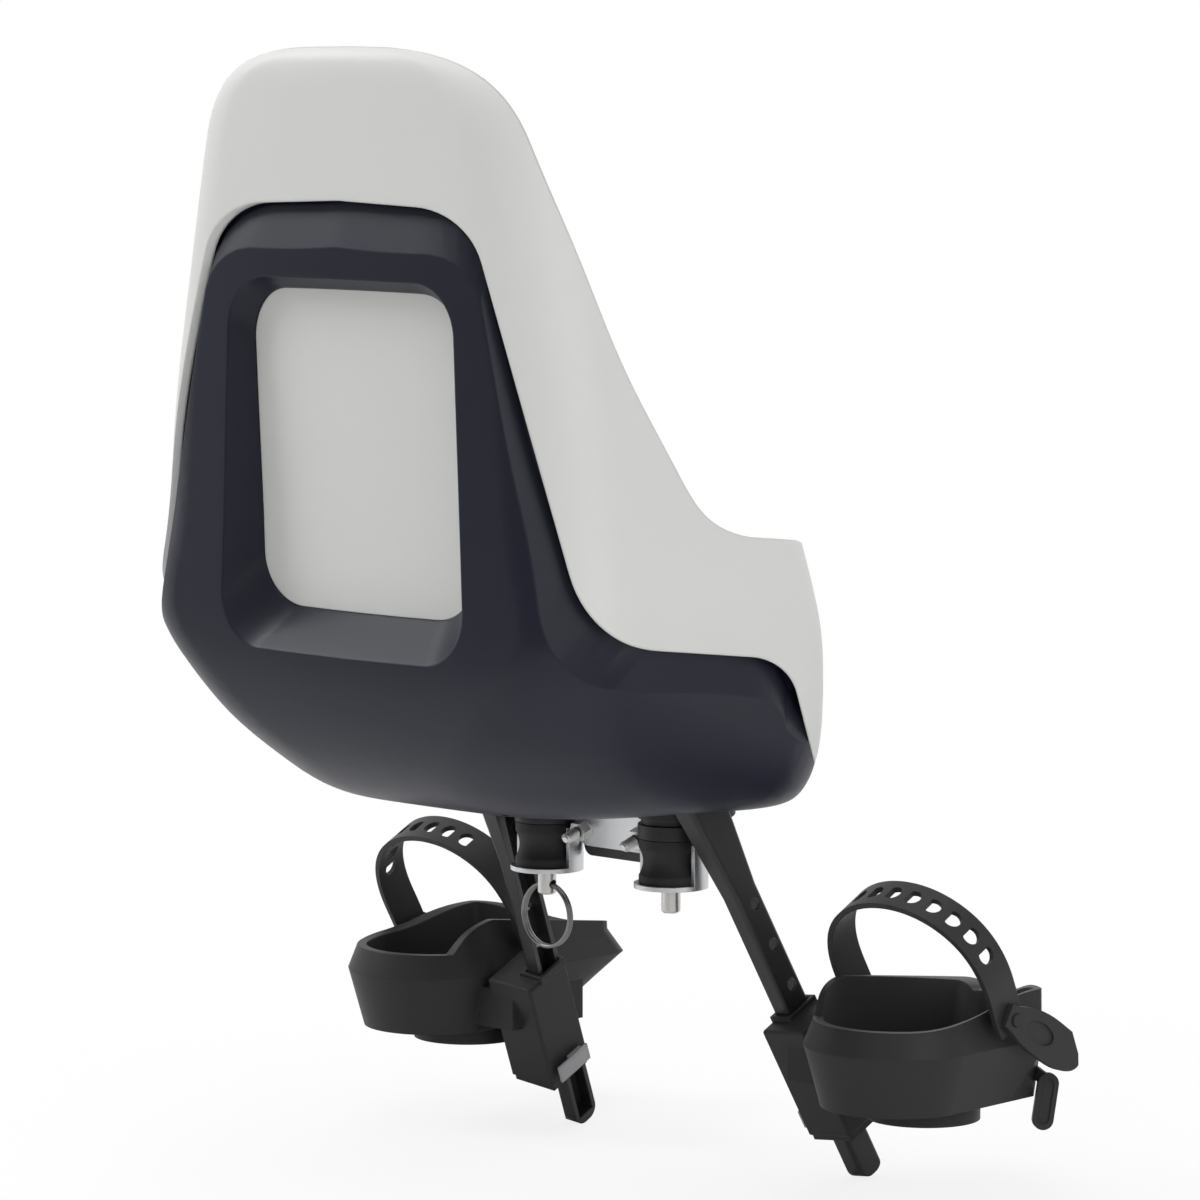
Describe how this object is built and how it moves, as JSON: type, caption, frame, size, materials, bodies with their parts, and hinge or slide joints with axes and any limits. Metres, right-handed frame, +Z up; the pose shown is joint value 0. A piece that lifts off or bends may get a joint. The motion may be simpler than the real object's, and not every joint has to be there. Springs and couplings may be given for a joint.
{
  "type": "front child bicycle seat",
  "caption": "Front-mounted child bicycle seat: moulded bucket in a dark outer frame, pin bracket with stem clamp, leg bars with sliding strapped footrests and a harness.",
  "frame": {"origin": "centre of the stem clamp's bore", "axes": "+Z up, the child faces -Y, the child's left side is +X; the stem leans back at the top"},
  "size_m": [0.4548, 0.3536, 0.5981],
  "materials": {
    "shell_white": "fine satin grain",
    "frame_navy": "fine satin grain",
    "pin_steel": "bright zinc",
    "zinc_sheet": "bright zinc",
    "zinc_bolt": "bright zinc",
    "ring_wire": "drawn wire",
    "black_plastic": "satin",
    "black_rubber": "matte",
    "bar_black": "satin black",
    "footrest_black": "fine grain",
    "strap_rubber": "matte",
    "button_grey": "satin",
    "button_red": "satin",
    "pad_foam": "closed-cell foam",
    "webbing": "woven"
  },
  "bodies": {
    "seat": {"back_pad": "pad_foam", "bow_plate": "black_plastic", "bracket_rivet": "zinc_bolt", "buckle_body": "black_plastic", "buckle_tongue_left": "black_plastic", "buckle_tongue_right": "black_plastic", "bush_left": "black_rubber", "bush_right": "black_rubber", "clamp_bolt_left": "zinc_bolt", "clamp_bolt_right": "zinc_bolt", "clamp_nut_left": "zinc_bolt", "clamp_nut_right": "zinc_bolt", "crotch_web": "webbing", "front_clamp": "black_plastic", "leg_bar_left": "bar_black", "leg_bar_right": "bar_black", "outer_frame": "frame_navy", "pin_collar_left": "black_plastic", "pin_collar_right": "black_plastic", "seat_pad": "pad_foam", "seat_shell": "shell_white", "shoulder_web_left": "webbing", "shoulder_web_right": "webbing", "stem_block": "black_plastic", "stem_bracket": "zinc_sheet", "support_bow": "pin_steel"},
    "foot_left": {"footrest_left": "footrest_black", "foot_strap_left": "strap_rubber", "pull_tab_left": "strap_rubber", "strap_tail_left": "strap_rubber", "sleeve_screw_left": "zinc_bolt"},
    "foot_right": {"footrest_right": "footrest_black", "foot_strap_right": "strap_rubber", "pull_tab_right": "strap_rubber", "strap_tail_right": "strap_rubber", "sleeve_screw_right": "zinc_bolt"},
    "latch_left": {"release_button_left": "button_grey"},
    "latch_right": {"release_button_right": "button_grey"},
    "ring": {"split_ring": "ring_wire"},
    "buckle_press": {"buckle_button": "button_red"}
  },
  "joints": [
    {"name": "foot_height_left", "type": "slide", "parent": "seat", "child": "foot_left", "axis": [-0.132, 0.4329, 0.8917], "range_m": [0, 0.05]},
    {"name": "latch_press_left", "type": "slide", "parent": "foot_left", "child": "latch_left", "axis": [0.9912, 0.0577, 0.1188], "range_m": [0, 0.0028], "stiffness_N_per_m": 900},
    {"name": "foot_height_right", "type": "slide", "parent": "seat", "child": "foot_right", "axis": [0.132, 0.4329, 0.8917], "range_m": [0, 0.05]},
    {"name": "latch_press_right", "type": "slide", "parent": "foot_right", "child": "latch_right", "axis": [-0.9912, 0.0577, 0.1188], "range_m": [0, 0.0028], "stiffness_N_per_m": 900},
    {"name": "ring_swing", "type": "hinge", "parent": "seat", "child": "ring", "pos_m": [0.045, 0.05, -0.0325], "axis": [1, 0, 0], "range_deg": [-35, 35]},
    {"name": "buckle_push", "type": "slide", "parent": "seat", "child": "buckle_press", "axis": [0, 0, -1], "range_m": [0, 0.0025], "stiffness_N_per_m": 900}
  ]
}
